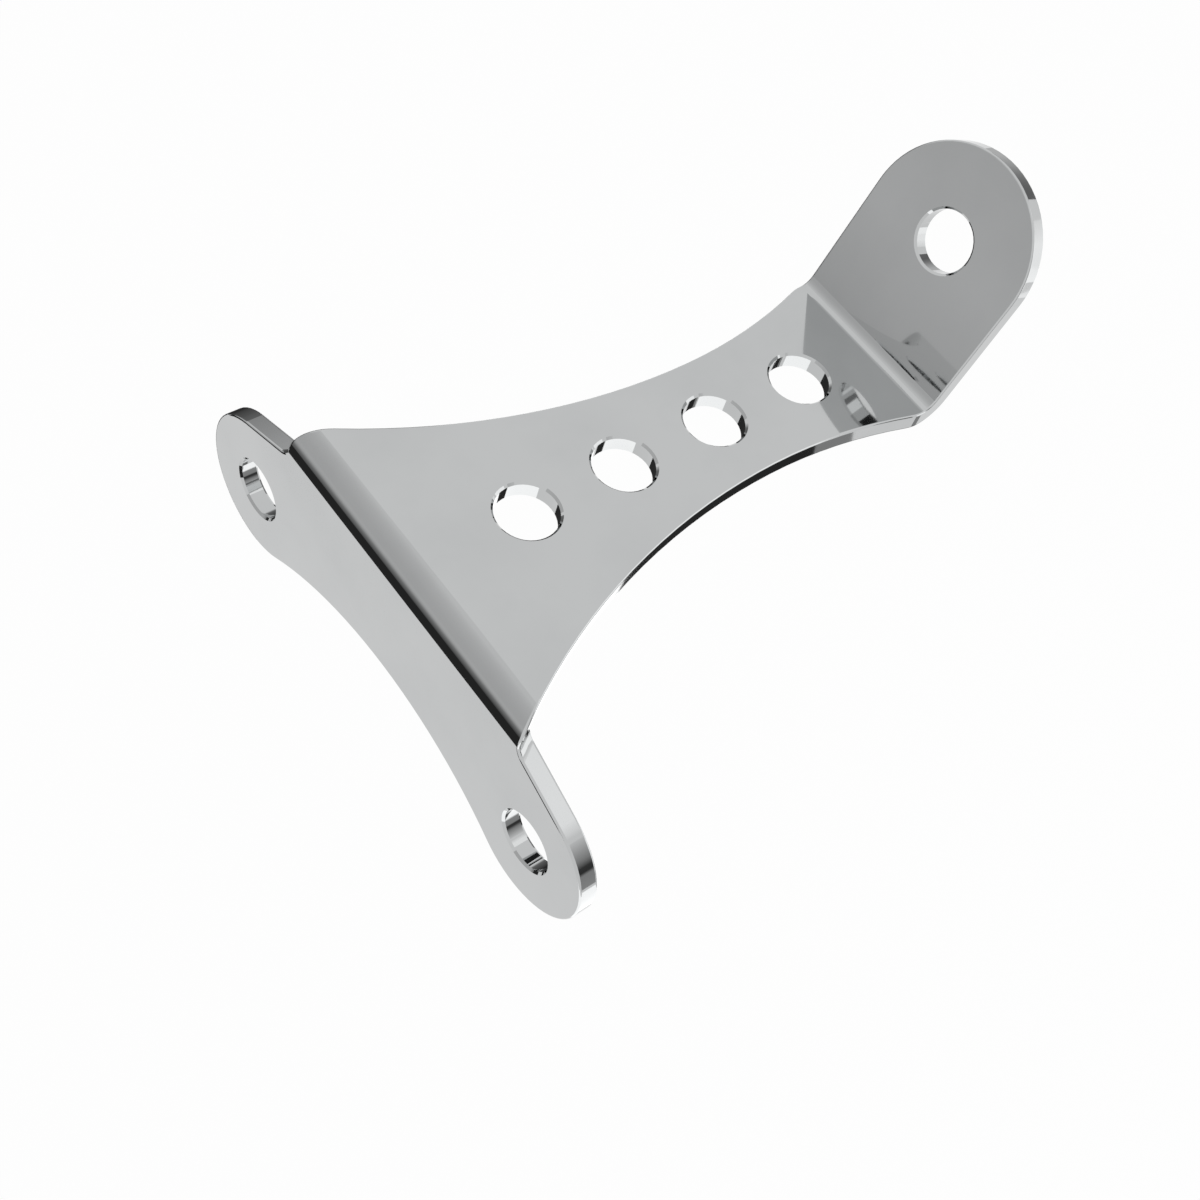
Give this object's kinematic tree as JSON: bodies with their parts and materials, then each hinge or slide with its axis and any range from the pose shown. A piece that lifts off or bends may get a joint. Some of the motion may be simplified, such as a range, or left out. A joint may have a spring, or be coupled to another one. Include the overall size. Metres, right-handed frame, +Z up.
{
  "type": "headlight mounting bracket",
  "caption": "Folded chrome plate bracket: a two-lobed bolt flange, a waisted web with a row of lightening holes and a raised rounded tab with a hole for the lamp.",
  "frame": {"origin": "midway between the flange's two bolt holes, on the flange's outer face", "axes": "+X forward from the fork to the lamp, +Y along the folds, +Z up, with the web level"},
  "size_m": [0.1179, 0.1054, 0.0765],
  "materials": {
    "chrome": "mirror-polished chrome plate over steel"
  },
  "bodies": {
    "root": {"bracket": "chrome"}
  },
  "joints": []
}
